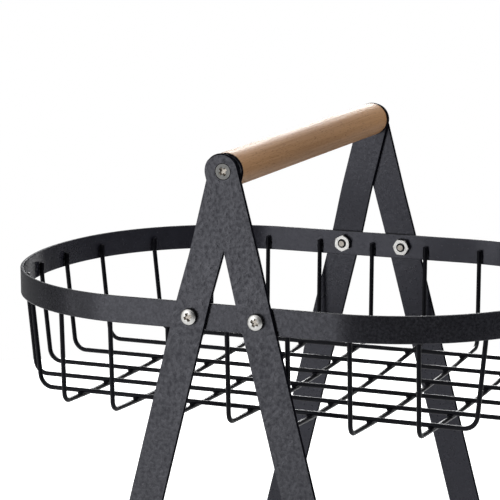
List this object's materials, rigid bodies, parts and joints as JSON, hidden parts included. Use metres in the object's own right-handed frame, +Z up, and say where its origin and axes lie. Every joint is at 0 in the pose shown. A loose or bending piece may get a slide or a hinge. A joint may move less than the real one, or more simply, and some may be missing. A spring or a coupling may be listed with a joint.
{
  "type": "wire fruit basket",
  "caption": "Tiered wire fruit basket in black coated steel: oval wire baskets bolted between A-frames of flat bar, with a plain wooden dowel across the top as carrying handle.",
  "frame": {"origin": "on the table, midway between the four feet", "axes": "+Z up, +X along the long axis of the oval baskets, +Y along the handle towards the back; the front A-frame is at -Y"},
  "size_m": [0.386, 0.2572, 0.3693],
  "materials": {
    "wood": "oiled beech, satin",
    "coated_bar": "fine-textured black powder coat",
    "coated_band": "fine-textured black powder coat",
    "coated_wire": "satin black powder coat",
    "bright_steel": "bright zinc plate"
  },
  "bodies": {
    "root": {"handle": "wood", "handle_screw_front": "bright_steel", "handle_screw_back": "bright_steel", "leg_front_left": "coated_bar", "leg_front_right": "coated_bar", "leg_back_left": "coated_bar", "leg_back_right": "coated_bar", "upper_rim": "coated_band", "upper_cross_wire_1": "coated_wire", "upper_cross_wire_2": "coated_wire", "upper_cross_wire_3": "coated_wire", "upper_cross_wire_4": "coated_wire", "upper_cross_wire_5": "coated_wire", "upper_cross_wire_6": "coated_wire", "upper_cross_wire_7": "coated_wire", "upper_long_wire_1": "coated_wire", "upper_long_wire_2": "coated_wire", "upper_long_wire_3": "coated_wire", "upper_long_wire_4": "coated_wire", "upper_long_wire_5": "coated_wire", "upper_long_wire_6": "coated_wire", "upper_bolt_front_left": "bright_steel", "upper_bolt_front_right": "bright_steel", "upper_bolt_back_left": "bright_steel", "upper_bolt_back_right": "bright_steel", "upper_nut_front_left": "bright_steel", "upper_nut_front_right": "bright_steel", "upper_nut_back_left": "bright_steel", "upper_nut_back_right": "bright_steel", "lower_rim": "coated_band", "lower_cross_wire_1": "coated_wire", "lower_cross_wire_2": "coated_wire", "lower_cross_wire_3": "coated_wire", "lower_cross_wire_4": "coated_wire", "lower_cross_wire_5": "coated_wire", "lower_cross_wire_6": "coated_wire", "lower_cross_wire_7": "coated_wire", "lower_cross_wire_8": "coated_wire", "lower_long_wire_1": "coated_wire", "lower_long_wire_2": "coated_wire", "lower_long_wire_3": "coated_wire", "lower_long_wire_4": "coated_wire", "lower_long_wire_5": "coated_wire", "lower_long_wire_6": "coated_wire", "lower_bolt_front_left": "bright_steel", "lower_bolt_front_right": "bright_steel", "lower_bolt_back_left": "bright_steel", "lower_bolt_back_right": "bright_steel", "lower_nut_front_left": "bright_steel", "lower_nut_front_right": "bright_steel", "lower_nut_back_left": "bright_steel", "lower_nut_back_right": "bright_steel"}
  },
  "joints": []
}
